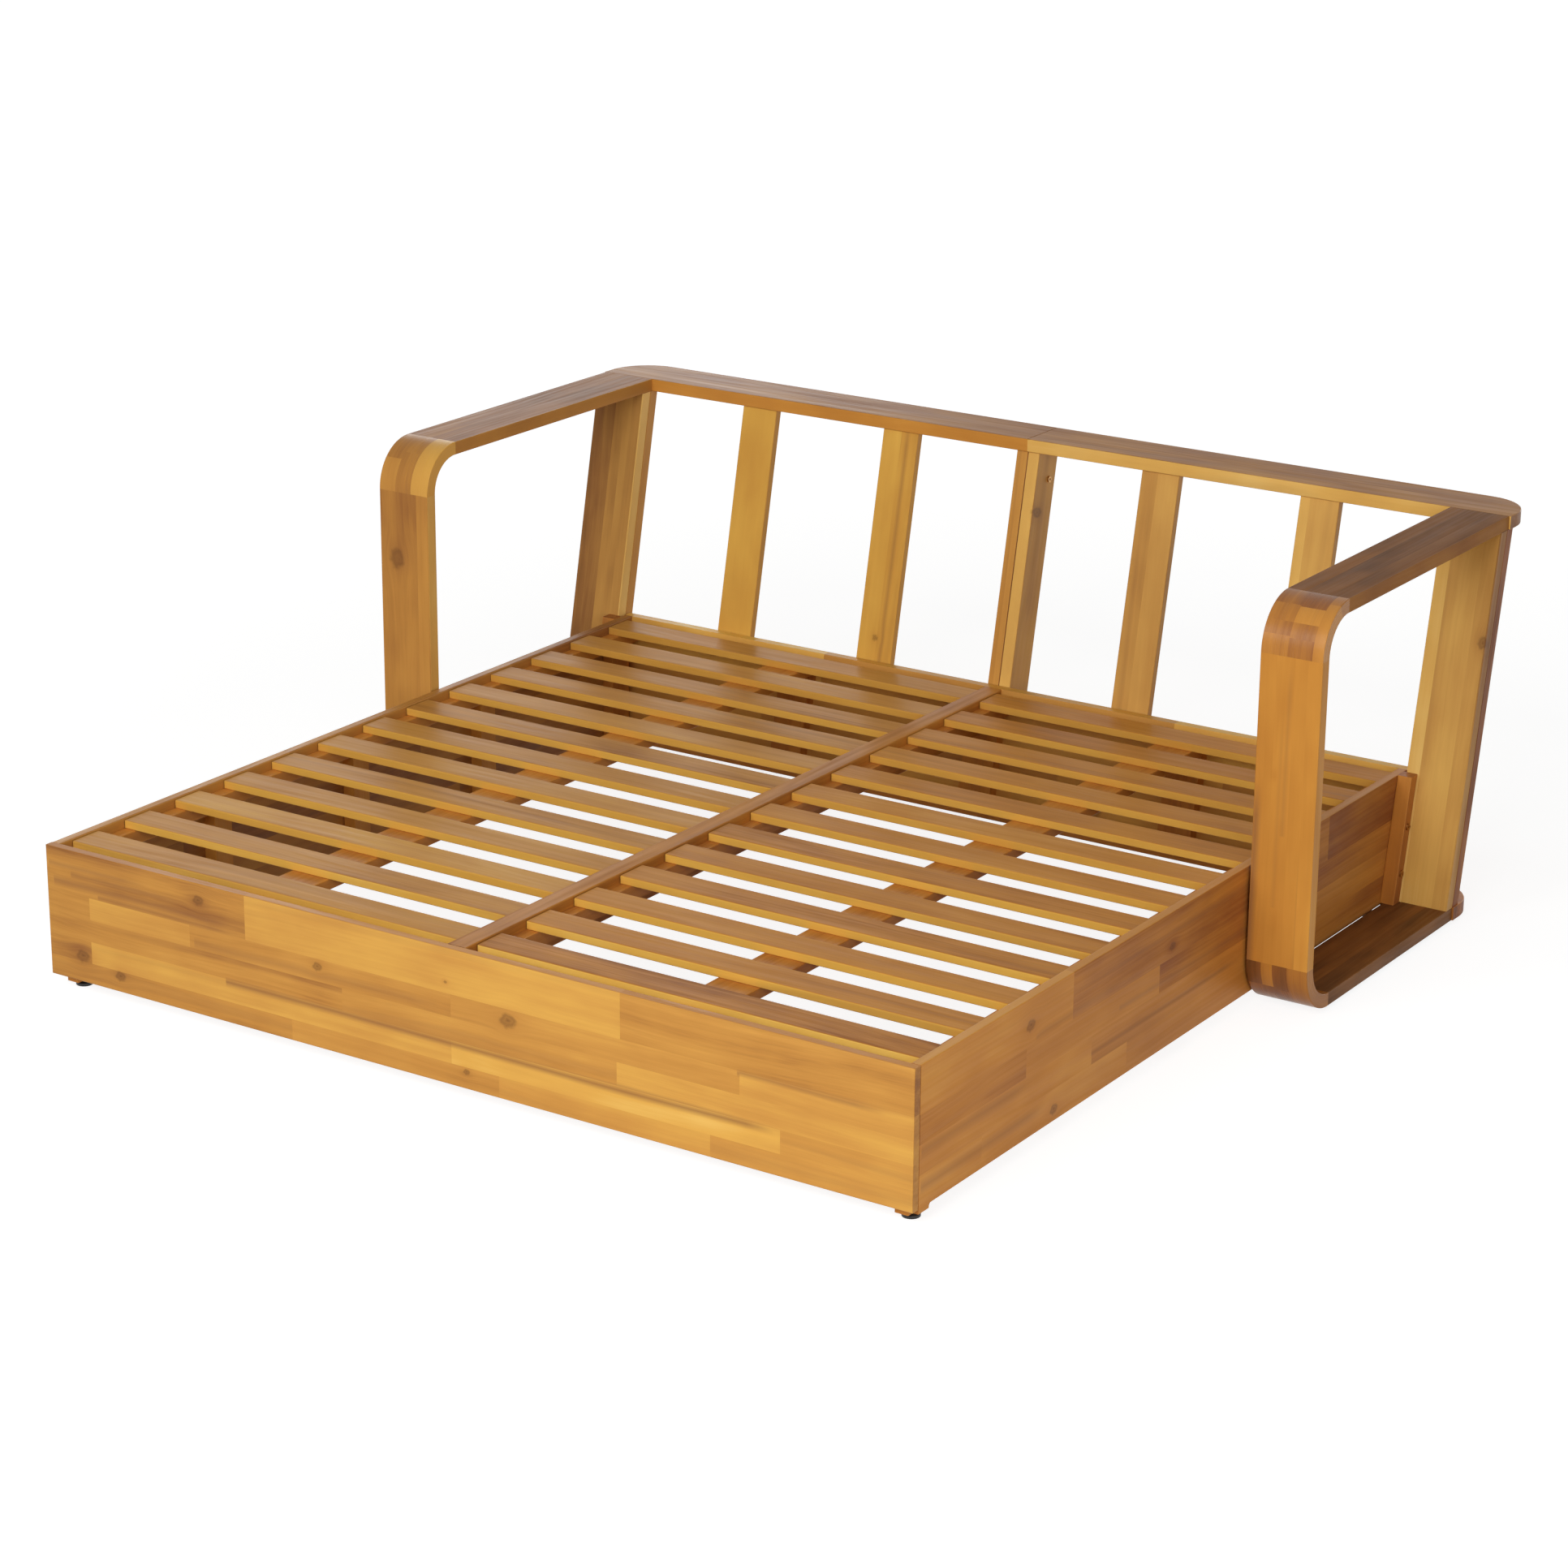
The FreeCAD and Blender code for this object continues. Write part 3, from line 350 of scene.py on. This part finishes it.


# Where each board's staves start, in mm on the daybed, and how light each one is.
# edges gives an axis that the narrow faces look along, how much of the tone they keep, a lift and a hue:
# painted light and shade on those faces.
boards = {
    "front_panel": {
        "along": "x", "across": "z", "hue": "golden", "figure": 1.25, "edges": ("z", 0.3, 0.32, "amber"),
        "rows": [
            (28, [(-875, 0.47), (-335, 0.56), (90, 0.66), (505, 0.6)]),
            (66, [(-875, 0.46), (-785, 0.72), (0, 0.8), (633, 0.64)]),
            (106, [(-875, 0.46), (-232, 0.56), (325, 0.7)]),
            (146, [(-875, 0.46), (-785, 0.6), (-557, 0.5), (-5, 0.58), (555, 0.64)]),
            (186, [(-875, 0.4), (-432, 0.73), (330, 0.48)]),
        ],
        "knots": [(-800, 76, -962, 9), (115, 166, -962, 10), (-277, 172, -962, 6), (-715, 57, -962, 7),
                  (-10, 205, -962, 2), (30, 58, -962, 4), (-532, 234, -962, 7)],
        "veins": [(-478, 633, 101, 9, 0.75), (-545, -20, 158, 12, 0.35), (555, 830, 182, 7, 0.55),
                  (-860, -440, 205, 11, 0.6), (-820, -560, 222, 8, 0.5),
                  (-870, -640, 235, 7, 0.45), (-760, -440, 192, 8, 0.55)],
    },
    "side_panel_R": {
        "along": "y", "across": "z", "figure": 0.75, "edges": ("z", 0.5, 0.36, "amber"),
        # the staves darken towards the back: random tone and painted shade from the arm
        "rows": [
            (20, [(-945, 0.64), (-765, 0.63), (-300, 0.52), (200, 0.41)]),
            (83, [(-945, 0.62), (-420, 0.52), (100, 0.5)]),
            (133, [(-945, 0.46), (-632, 0.55), (-197, 0.39), (300, 0.38)]),
            (183, [(-945, 0.6), (-487, 0.37), (50, 0.37), (420, 0.26)]),
        ],
        "knots": [(-617, 218, 875, 8), (-152, 203, 875, 6), (-537, 48, 875, 7)],
        "veins": [(-420, 100, 103, 7, 0.55), (-940, -600, 120, 14, 0.4), (-940, -560, 62, 14, 0.4),
                  (-600, -300, 195, 9, 0.3), (-330, 250, 150, 8, 0.35)],
    },
    "side_panel_L": {
        "along": "y", "across": "z", "hue": "golden", "edges": ("z", 1.0, -0.22, "golden"),
        "faces": [(-860, -858, -0.2)],  # painted shade on the inner face, under the slats
        "rows": [
            (20, [(-945, 0.48), (-520, 0.6), (160, 0.52)]),
            (68, [(-945, 0.66), (-200, 0.5), (420, 0.58)]),
            (118, [(-945, 0.52), (-640, 0.44), (40, 0.64)]),
            (180, [(-945, 0.68), (-340, 0.62), (330, 0.54)]),
        ],
        "knots": [(-260, 94, -875, 12), (300, 205, -875, 10)],
    },
    "back_panel": {
        "along": "x", "across": "z", "hue": "golden", "edges": ("z", 1.0, 0.08, "honey"),
        "rows": [
            (40, [(-875, 0.5), (-250, 0.62), (420, 0.54)]),
            (92, [(-875, 0.6), (-520, 0.48), (160, 0.56)]),
            (140, [(-875, 0.52), (-60, 0.66), (510, 0.46)]),
            (190, [(-875, 0.82), (-390, 0.5), (390, 0.78)]),
        ],
        "knots": [(-640, 120, 712, 12), (250, 70, 700, 10), (-735, 250, 705, 6)],
    },
    "center_beam": {"along": "y", "across": "z", "gloss": 0.08, "hue": "amber",
                    "rows": [(193, 0.38), (228, 0.39)]},
    "beam_ledgers": {"along": "y", "across": "x", "rows": [(-44, 0.5), (0, 0.44)]},
    "front_posts": {"along": "z", "across": "x", "rows": [(-475, 0.5), (-100, 0.42), (100, 0.56)]},
    "back_posts": {"along": "z", "across": "x", "lean": True,
                   "rows": [(-475, 0.44), (-100, 0.54), (100, 0.48)]},
    "arm_front_post_L": {
        "along": "z", "across": "x", "hue": "golden", "figure": 0.6,
        "rows": [(-996, 0.4), (-940, 0.43), (-908, 0.49), (-883.5, 0.5)], "knots": [(514, -957, 119, 13)],
        "edges": ("x", 1.0, 0.34, "straw"), "fades": [(480, 620, -0.12)],
    },
    "arm_front_post_R": {
        "along": "z", "across": "x", "figure": 0.5, "hue": "amber",
        "rows": [(881, 0.49), (912, 0.57), (946, 0.54), (970, 0.61)], "knots": [(436, 917, 122, 3)],
        "veins": [(90, 420, 884, 12, 0.75), (330, 640, 938, 7, 0.28), (200, 560, 928, 6, 0.18)],
    },
    "arm_rear_post_L": {
        "along": "z", "across": "x", "lean": True, "hue": "straw", "figure": 0.6,
        "rows": [(-996, 0.22), (-972, 0.3), (-945, 0.44), (-922, 0.5), (-905, 0.42), (-883.5, 0.9)],
    },
    "arm_rear_post_R": {
        "along": "z", "across": "x", "lean": True, "hue": "straw",
        # the fade is painted light: lighter towards the foot of the post, where the side panel shades it
        "rows": [(881, 0.84), (906, 0.62), (966, 0.53), (993.5, 0.3)], "fades": [(600, 60, 0.22)],
        "knots": [(660, 990, 659, 7)],
    },
    "armrest_L": {"along": "y", "across": "x", "hue": "golden", "gloss": 0.06, "figure": 0.3,
                  "rows": [(-996, 0.22), (-940, 0.19), (-883.5, 0.42)]},
    "armrest_R": {
        "along": "y", "across": "x", "hue": "golden", "gloss": 0.03, "figure": 0.25,
        "rows": [(881, 0.15), (915, 0.09), (960, 0.12), (993.5, 0.24)],
    },
    "arm_bottom_rail_L": {"along": "y", "across": "x", "rows": [(-996, 0.4), (-945, 0.48)]},
    # its very dark tones are painted shade inside the arm, on top of the wood's own tone
    "arm_bottom_rail_R": {"along": "y", "across": "x", "gloss": 0.07, "figure": 0.6, "hue": "golden",
                          "rows": [(881, 0.09), (935, 0.14), (955, 0.07)]},
    "arm_rear_cleat_L": {"along": "z", "across": "x", "lean": True, "rows": [(-903, 0.5)]},
    "arm_rear_cleat_R": {"along": "z", "across": "x", "lean": True, "figure": 0.5,
                         "edges": ("x", 1.0, -0.12, "russet"), "rows": [(875, 0.46)]},
    "arm_front_cleat_L": {"along": "z", "across": "x", "rows": [(-903, 0.5)]},
    "arm_front_cleat_R": {"along": "z", "across": "x", "rows": [(875, 0.46)]},
    "back_top_rail_L": {"along": "x", "across": "y", "hue": "golden", "figure": 0.5,
                        "edges": ("y", 1.0, 0.27, "amber"), "rows": [(847, 0.3), (900, 0.27)]},
    "back_top_rail_R": {"along": "x", "across": "y", "hue": "golden", "figure": 0.5,
                        "edges": ("y", 1.0, 0.48, "straw"), "rows": [(847, 0.33), (905, 0.28)]},
    "back_bottom_rail_L": {"along": "x", "across": "y", "rows": [(704, 0.5), (760, 0.44)]},
    "back_bottom_rail_R": {"along": "x", "across": "y", "rows": [(704, 0.44), (755, 0.52)]},
    "back_stile_L": {"along": "z", "across": "x", "lean": True, "hue": "golden",
                     "rows": [(-996, 0.46), (-930, 0.4), (-883.5, 0.5)]},
    "back_stile_R": {"along": "z", "across": "x", "lean": True,
                     "rows": [(881, 0.5), (940, 0.42), (993.5, 0.24)]},
    "back_slat_outer_L": {
        "along": "z", "across": "x", "lean": True, "hue": "honey", "figure": 0.5,
        "rows": [(-660, 0.72), (-581.5, 0.5)],
    },
    "back_slat_inner_L": {
        "along": "z", "across": "x", "lean": True, "hue": "honey", "figure": 0.7,
        "rows": [(-328, 0.7), (-286, 0.61), (-249.5, 0.6)], "knots": [(455, -290, 702, 5)],
        "veins": [(250, 900, -272, 7, 0.45)],
    },
    "back_slat_inner_R": {
        "along": "z", "across": "x", "lean": True, "hue": "straw", "figure": 0.6,
        "rows": [(248, 0.5), (283, 0.58), (326.5, 0.4)],
    },
    "back_slat_outer_R": {
        "along": "z", "across": "x", "lean": True, "hue": "straw", "figure": 0.7,
        "rows": [(580, 0.78), (600, 0.66), (628, 0.7), (658.5, 0.42)],
    },
    "back_center_post_L": {
        "along": "z", "across": "x", "lean": True, "hue": "golden", "figure": 0.6,
        "rows": [(-25, 0.48), (-14, 0.53), (-1.3, 0.12)],  # the dark strip at the seam between the posts is painted shade
    },
    "back_center_post_R": {
        "along": "z", "across": "x", "lean": True, "hue": "straw", "figure": 0.6,
        # the first row is a dark strip at the seam: painted shade
        "rows": [(0, 0.2), (0.7, 0.78), (24, 0.5)],
        "knots": [(752, 26, 712, 6)],
    },
}
for side, ledgerTone in (("L", 0.62), ("R", 0.5)):  # boards under the slats
    boards["side_ledger_" + side] = {"along": "y", "across": "z", "rows": [(219, ledgerTone)]}
    boards["side_battens_" + side] = {"along": "z", "across": "y",
                                      "rows": [(-578, 0.74), (-400, 0.68), (0, 0.72)]}
    for end in "FB":
        boards["corner_leg_" + end + side] = {"along": "z", "across": "y", "rows": [(-945, 0.48)]}
boards["mid_support_L"] = {"along": "y", "across": "x", "rows": [(-478, 0.54)]}
boards["mid_support_R"] = {"along": "y", "across": "x", "rows": [(397, 0.5)]}

# Seat slats: one tone each, from front to back
seatSlat = {
    "width": 65, "lead": 30,  # mm, a tone starts in the gap before its slat
    "tones": {
        "L": [0.56, 0.46, 0.65, 0.54, 0.49, 0.57, 0.51, 0.44, 0.53, 0.47, 0.48, 0.55, 0.53],
        "R": [0.37, 0.49, 0.53, 0.46, 0.45, 0.43, 0.53, 0.56, 0.46, 0.55, 0.52, 0.46, 0.54],
    },
    "hue": {"L": "golden", "R": "amber"}, "gloss": 0.05,
    # painted highlight on the slats' front faces, fading darker towards the back
    "edges": ("y", -0.5, 1.1, "honey"), "paintedFaceFade": (-945, 690, -0.26),
}
for side, tones in seatSlat["tones"].items():
    low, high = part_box("seat_slats_" + side)
    step = ((high[1] - low[1]) / mm - seatSlat["width"]) / (len(tones) - 1)
    first = low[1] / mm - seatSlat["lead"]
    boards["seat_slats_" + side] = {
        "along": "x", "across": "y", "hue": seatSlat["hue"][side], "gloss": seatSlat["gloss"],
        "edges": seatSlat["edges"], "paintedFaceFade": seatSlat["paintedFaceFade"],
        "rows": [(first + step * number, tone) for number, tone in enumerate(tones)],
    }

# Corner blocks of the arms, built up like bricks from short offcuts of every tone.
# The starts inside a row run round the bend, in mm along the middle of the board.
cornerBoard = {
    "radius": 77.5, "reach": 300, "middles": {"upper": (199.5, 646), "lower": (199.5, 98)},  # mm
    "hue": {"L": "golden", "R": "amber"}, "figure": 0.7,
    "gloss": {"arm_upper_corner_R": 0.26}, "roughness": (0.26, 0.36),  # sanded finer round the bend
    "rows": {
        "arm_upper_corner_L": [
            (-996, [(0, 0.4), (186, 0.43)]),
            (-958, [(0, 0.34), (172, 0.4)]),
            (-921, [(0, 0.78)]),
        ],
        "arm_upper_corner_R": [
            (881, [(0, 0.26), (160, 0.34), (192, 0.36), (211, 0.38)]),
            (930, [(0, 0.24), (163, 0.48), (192, 0.38), (214, 0.27)]),
            (976, [(0, 0.4), (150, 0.52)]),
        ],
        "arm_lower_corner_L": [
            (-996, [(-300, 0.5), (-180, 0.4)]),
            (-952, [(-300, 0.36)]),
            (-915, [(-300, 0.6)]),
        ],
        "arm_lower_corner_R": [
            (881, [(-300, 0.1), (-205, 0.2)]),
            (909, [(-300, 0.44), (-206, 0.16), (-186, 0.26)]),
            (930, [(-300, 0.17), (-200, 0.2)]),
            (958, [(-300, 0.31)]),
        ],
    },
}
for name, rows in cornerBoard["rows"].items():
    middle = cornerBoard["middles"][name.split("_")[1]]
    boards[name] = {
        "arc": middle + (cornerBoard["radius"],), "rows": rows,
        "hue": cornerBoard["hue"][name[-1]], "figure": cornerBoard["figure"],
        "gloss": cornerBoard["gloss"].get(name, acacia["gloss"]), "roughness": cornerBoard["roughness"],
    }

for seed, (name, board) in enumerate(boards.items()):
    low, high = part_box(name)
    if "arc" in board:
        box = (-cornerBoard["reach"], cornerBoard["reach"], low[0] / mm, high[0] / mm)
    else:
        letters = ["xyz".index(board[way]) for way in ("along", "across")]
        box = [value / mm for letter in letters for value in (low[letter], high[letter])]
    mesh = cadNodes[name].data
    mesh.materials.clear()
    mesh.materials.append(oiledAcacia(name, board, seed, box))
print("acacia on", len(boards), "boards")


# Leveler feet in polypropylene, moulded black: a fine even grit with a soft shine, a little scuffed
polypropylene = {
    "colours": [(0.35, "#131211"), (0.75, "#2b2825")],
    "scuff": 9, "scuffLevels": (0.3, 0.7), "roughness": (0.38, 0.55), "ior": 1.49,  # mm
    "grit": 1.2, "relief": 0.15, "strength": 0.25,                                  # mm
}


def mouldedPolypropylene():
    material, tree = newMaterial("moulded black polypropylene")
    point = addNode(tree, "TexCoord").outputs["Object"]
    gritScale = 1 / (polypropylene["grit"] * mm)
    grit = addNode(tree, "TexNoise", {"Vector": point, "Scale": gritScale, "Detail": 2.0})
    scuffScale = 1 / (polypropylene["scuff"] * mm)
    scuff = addNode(tree, "TexNoise", {"Vector": point, "Scale": scuffScale, "Detail": 3.0})
    colour = addNode(tree, "ValToRGB", {0: scuff})
    fillRamp(colour, [(place, linear(code)) for place, code in polypropylene["colours"]])
    low, high = polypropylene["scuffLevels"]
    smooth, dull = polypropylene["roughness"]
    rough = addNode(tree, "MapRange", {0: scuff, 1: low, 2: high, 3: smooth, 4: dull})
    bump = addNode(tree, "Bump", {"Height": grit, "Strength": polypropylene["strength"],
                                  "Distance": polypropylene["relief"] * mm})
    shader = addNode(tree, "BsdfPrincipled", {
        "Base Color": colour, "Roughness": rough, "Normal": bump, "IOR": polypropylene["ior"],
    })
    addNode(tree, "OutputMaterial", {0: shader})
    return material


# Plated steel: bright zinc on the leveler threads, darkened bronze on the connector bolts.
# The plating is a little cloudy, and duller where it is darker.
plating = {
    "cloud": 4, "cloudLevels": (0.3, 0.7), "dulled": 0.12,  # mm
    "bright zinc plate": {"light": "#c9c7c1", "shade": "#a5a39d", "roughness": 0.28},
    "antique bronze plate": {"light": "#c99a5c", "shade": "#8f6436", "roughness": 0.3},
}


def platedSteel(name):
    material, tree = newMaterial(name)
    plate = plating[name]
    point = addNode(tree, "TexCoord").outputs["Object"]
    cloudScale = 1 / (plating["cloud"] * mm)
    cloud = addNode(tree, "TexNoise", {"Vector": point, "Scale": cloudScale, "Detail": 3.0})
    low, high = plating["cloudLevels"]
    colour = addNode(tree, "ValToRGB", {0: cloud})
    fillRamp(colour, [(low, linear(plate["shade"])), (high, linear(plate["light"]))])
    smooth = plate["roughness"]
    dull = smooth + plating["dulled"]
    rough = addNode(tree, "MapRange", {0: cloud, 1: low, 2: high, 3: dull, 4: smooth})
    shader = addNode(tree, "BsdfPrincipled", {"Base Color": colour, "Roughness": rough, "Metallic": 1.0})
    addNode(tree, "OutputMaterial", {0: shader})
    return material


plastic = mouldedPolypropylene()
zinc = platedSteel("bright zinc plate")
bronze = platedSteel("antique bronze plate")
for name, node in cadNodes.items():
    finish = None
    if name.startswith("leveler_pad"):
        finish = plastic
    elif name.startswith("leveler_"):
        finish = zinc
    elif name == "joint_bolts":
        finish = bronze
    if finish:
        node.data.materials.clear()
        node.data.materials.append(finish)
print("metal and plastic done")


# Screw levelers: a moulded foot turned in one piece, and an M8 stem with its thread.
# The outlines give the distance from the middle and the height, in mm.
leveler = {
    "foot": [(0, 0.8), (9, 0.8), (10, 0), (15, 0), (15, 5), (9, 8), (9, 12.7), (4.3, 12.7), (4.3, 3), (0, 3)],
    "footSteps": 48, "rimAngle": 25, "rimRound": 0.9, "rimSteps": 3, "sliver": 0.02,
    "thread": [(3.35, 0), (3.35, 0.12), (4.0, 0.55), (4.0, 0.7), (3.35, 1.13), (3.35, 1.25)],
    "pitch": 1.25, "turns": 34, "turnSteps": 20, "stemStart": 3.3,
}


def middleOf(node):
    low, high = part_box(node)
    return (low[0] + high[0]) / 2, (low[1] + high[1]) / 2


def profileWire(outline, middle, lift):
    work = bmesh.new()
    points = [work.verts.new((middle[0] + out * mm, middle[1], (up + lift) * mm)) for out, up in outline]
    wires = [work.edges.new(pair) for pair in zip(points, points[1:])]
    return work, points + wires


def keepPiece(work, name, material, body, node):
    bmesh.ops.recalc_face_normals(work, faces=work.faces)
    mesh = bpy.data.meshes.new(name)
    work.to_mesh(mesh)
    work.free()
    mesh.materials.append(material)
    piece = bpy.data.objects.new(name, mesh)
    bpy.context.scene.collection.objects.link(piece)
    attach(piece, body)
    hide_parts(node)


def turnedFoot(corner):
    node = "leveler_pad_" + corner
    middle = middleOf(node)
    work, wire = profileWire(leveler["foot"], middle, 0)
    bmesh.ops.spin(work, geom=wire, cent=(*middle, 0), axis=(0, 0, 1), angle=radians(360),
                   steps=leveler["footSteps"], use_merge=True)
    bmesh.ops.remove_doubles(work, verts=work.verts, dist=weld)
    bmesh.ops.recalc_face_normals(work, faces=work.faces)
    sharp = radians(leveler["rimAngle"])
    rims = [edge for edge in work.edges if edge.calc_face_angle(0) > sharp]
    bmesh.ops.bevel(work, geom=rims, offset=leveler["rimRound"] * mm, segments=leveler["rimSteps"],
                    profile=0.5, affect="EDGES", material=-1, clamp_overlap=True)
    sliver = leveler["sliver"] * mm
    bmesh.ops.remove_doubles(work, verts=work.verts, dist=sliver)
    bmesh.ops.dissolve_degenerate(work, dist=sliver, edges=work.edges)
    for face in work.faces:
        face.smooth = True
    keepPiece(work, "turned_foot_" + corner, plastic, "pad_" + corner, node)


def threadedStem(corner):
    node = "leveler_stem_" + corner
    middle = middleOf(node)
    work, wire = profileWire(leveler["thread"], middle, leveler["stemStart"])
    rise = leveler["pitch"] * mm / leveler["turnSteps"]
    bmesh.ops.spin(work, geom=wire, cent=(*middle, 0), axis=(0, 0, 1), dvec=(0, 0, rise),
                   angle=radians(360 * leveler["turns"]), steps=leveler["turns"] * leveler["turnSteps"])
    bmesh.ops.remove_doubles(work, verts=work.verts, dist=weld)
    bmesh.ops.holes_fill(work, edges=work.edges, sides=0)
    keepPiece(work, "threaded_stem_" + corner, zinc, "stem_" + corner, node)


for corner in ("FL", "FR", "BL", "BR"):
    turnedFoot(corner)
    threadedStem(corner)
print("levelers done")


# Front cleats of the arms: sawn off below the tops of the panels, so that no end shows beside the posts
frontCleat = {"sawnOff": 24}  # mm


def sawnCleat(side):
    node = "arm_front_cleat_" + side
    source = cadNodes[node].data
    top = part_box(node)[1][2] - frontCleat["sawnOff"] * mm
    work = bmesh.new()
    work.from_mesh(source)
    bmesh.ops.remove_doubles(work, verts=work.verts, dist=weld)
    cut = bmesh.ops.bisect_plane(work, geom=work.verts[:] + work.edges[:] + work.faces[:],
                                 plane_no=(0, 0, 1), plane_co=(0, 0, top), clear_outer=True)
    rim = [part for part in cut["geom_cut"] if isinstance(part, bmesh.types.BMEdge)]
    bmesh.ops.holes_fill(work, edges=rim, sides=0)
    keepPiece(work, "front_cleat_" + side, source.materials[0], "frame", node)


for side in "LR":
    sawnCleat(side)
print("front cleats done")


# Studio: a wide sheet of white paper, a large soft key from the front, a fill, and two lamps behind.
# To the eye the background is white, and the paper keeps the daybed's shadow and grows whiter away from it.
studio = {
    "floorSize": 60.0, "paperColour": "#e8e8e6", "white": "#ffffff",
    "glowReach": (1.8, 5.0), "glow": (1.433, 1.62), "glowShare": 0.6,  # m from the middle, weak to strong
    "skyLow": 0.25, "skyHigh": 0.17,
    "aim": (0, 0, 0.35),
    "lamps": {
        "key": {"place": (0.2, -5.8, 3.8), "size": (6.0, 3.2), "power": 285},
        "fill": {"place": (4.2, -3.2, 1.3), "size": (2.2, 2.2), "power": 60},
        "rim": {"place": (-5.5, 5.5, 2.6), "size": (4.0, 4.0), "power": 95},
        "back": {"place": (0.6, 6.8, 0.55), "size": (5.0, 1.0), "power": 130},
    },
    "offFloor": ("rim", "back"),  # these leave the floor out, so that no edge of their light shows on it
}


def seenByEye(tree):
    # Rays straight from the camera, off a shiny surface or through glass
    path = addNode(tree, "LightPath")
    seen = addNode(tree, "Math", {0: path.outputs["Is Camera Ray"], 1: path.outputs["Is Glossy Ray"]},
                   operation="MAXIMUM")
    return addNode(tree, "Math", {0: seen, 1: path.outputs["Is Transmission Ray"]}, operation="MAXIMUM")


def paperFloor():
    material, tree = newMaterial("matt white paper")
    paper = addNode(tree, "BsdfDiffuse", {"Color": linear(studio["paperColour"])})
    point = addNode(tree, "TexCoord").outputs["Object"]
    away = addNode(tree, "VectorMath", {0: point}, operation="LENGTH").outputs["Value"]
    near, far = studio["glowReach"]
    weak, strong = studio["glow"]
    strength = addNode(tree, "MapRange", {0: away, 1: near, 2: far, 3: weak, 4: strong})
    glow = addNode(tree, "Emission", {"Color": linear(studio["white"]), "Strength": strength})
    bright = addNode(tree, "MixShader", {0: studio["glowShare"], 1: paper, 2: glow})
    shader = addNode(tree, "MixShader", {0: seenByEye(tree), 1: paper, 2: bright})
    addNode(tree, "OutputMaterial", {0: shader})
    return material


floorMesh = bmesh.new()
bmesh.ops.create_grid(floorMesh, x_segments=1, y_segments=1, size=studio["floorSize"] / 2)
floorData = bpy.data.meshes.new("floor")
floorMesh.to_mesh(floorData)
floorMesh.free()
floor = bpy.data.objects.new("floor", floorData)
floorData.materials.append(paperFloor())
bpy.context.scene.collection.objects.link(floor)

world = bpy.data.worlds.new("studio")
world.use_nodes = True
bpy.context.scene.world = world
sky = world.node_tree
sky.nodes.clear()
way = addNode(sky, "TexCoord")
height = addNode(sky, "SeparateXYZ", {0: way.outputs["Generated"]}).outputs[2]
level = addNode(sky, "MapRange", {0: height, 1: 0.0, 2: 1.0, 3: studio["skyLow"], 4: studio["skyHigh"]})
soft = addNode(sky, "Background", {"Color": linear(studio["white"]), "Strength": level})
plain = addNode(sky, "Background", {"Color": linear(studio["white"]), "Strength": 1.0})
both = addNode(sky, "MixShader", {0: seenByEye(sky), 1: soft, 2: plain})
addNode(sky, "OutputWorld", {0: both})

unlit = bpy.data.collections.new("not lit from behind")
unlit.objects.link(floor)
unlit.collection_objects[0].light_linking.link_state = "EXCLUDE"
for name, values in studio["lamps"].items():
    lamp = bpy.data.lights.new(name, "AREA")
    lamp.shape = "RECTANGLE"
    lamp.size, lamp.size_y = values["size"]
    lamp.energy = values["power"]
    holder = bpy.data.objects.new(name, lamp)
    place = Vector(values["place"])
    turn = (Vector(studio["aim"]) - place).to_track_quat("-Z", "Y").to_matrix().to_4x4()
    holder.matrix_world = Matrix.Translation(place) @ turn
    holder.visible_camera = False
    bpy.context.scene.collection.objects.link(holder)
    if name in studio["offFloor"]:
        holder.light_linking.receiver_collection = unlit
print("studio done")

# Camera at the photograph's place: solved from the straight edges of the base, square picture
view = {
    "eye": (3.7531, -5.6979, 2.5878),
    "right": (0.83405, 0.55164, 0.00734),
    "down": (0.18296, -0.26403, -0.94701),
    "lens": 92.543, "sensor": 36.0, "clipEnd": 200,
}
eyeRight = Vector(view["right"]).normalized()
eyeUp = -Vector(view["down"])
eyeUp = (eyeUp - eyeRight * eyeUp.dot(eyeRight)).normalized()
eyeBack = eyeRight.cross(eyeUp)
cameraData = bpy.data.cameras.new("camera")
cameraData.lens = view["lens"]
cameraData.sensor_width = view["sensor"]
cameraData.sensor_fit = "HORIZONTAL"
cameraData.clip_end = view["clipEnd"]
camera = bpy.data.objects.new("camera", cameraData)
turn = Matrix((eyeRight, eyeUp, eyeBack)).transposed().to_4x4()
camera.matrix_world = Matrix.Translation(Vector(view["eye"])) @ turn
bpy.context.scene.collection.objects.link(camera)
bpy.context.scene.camera = camera
bpy.context.scene.view_settings.view_transform = "Standard"
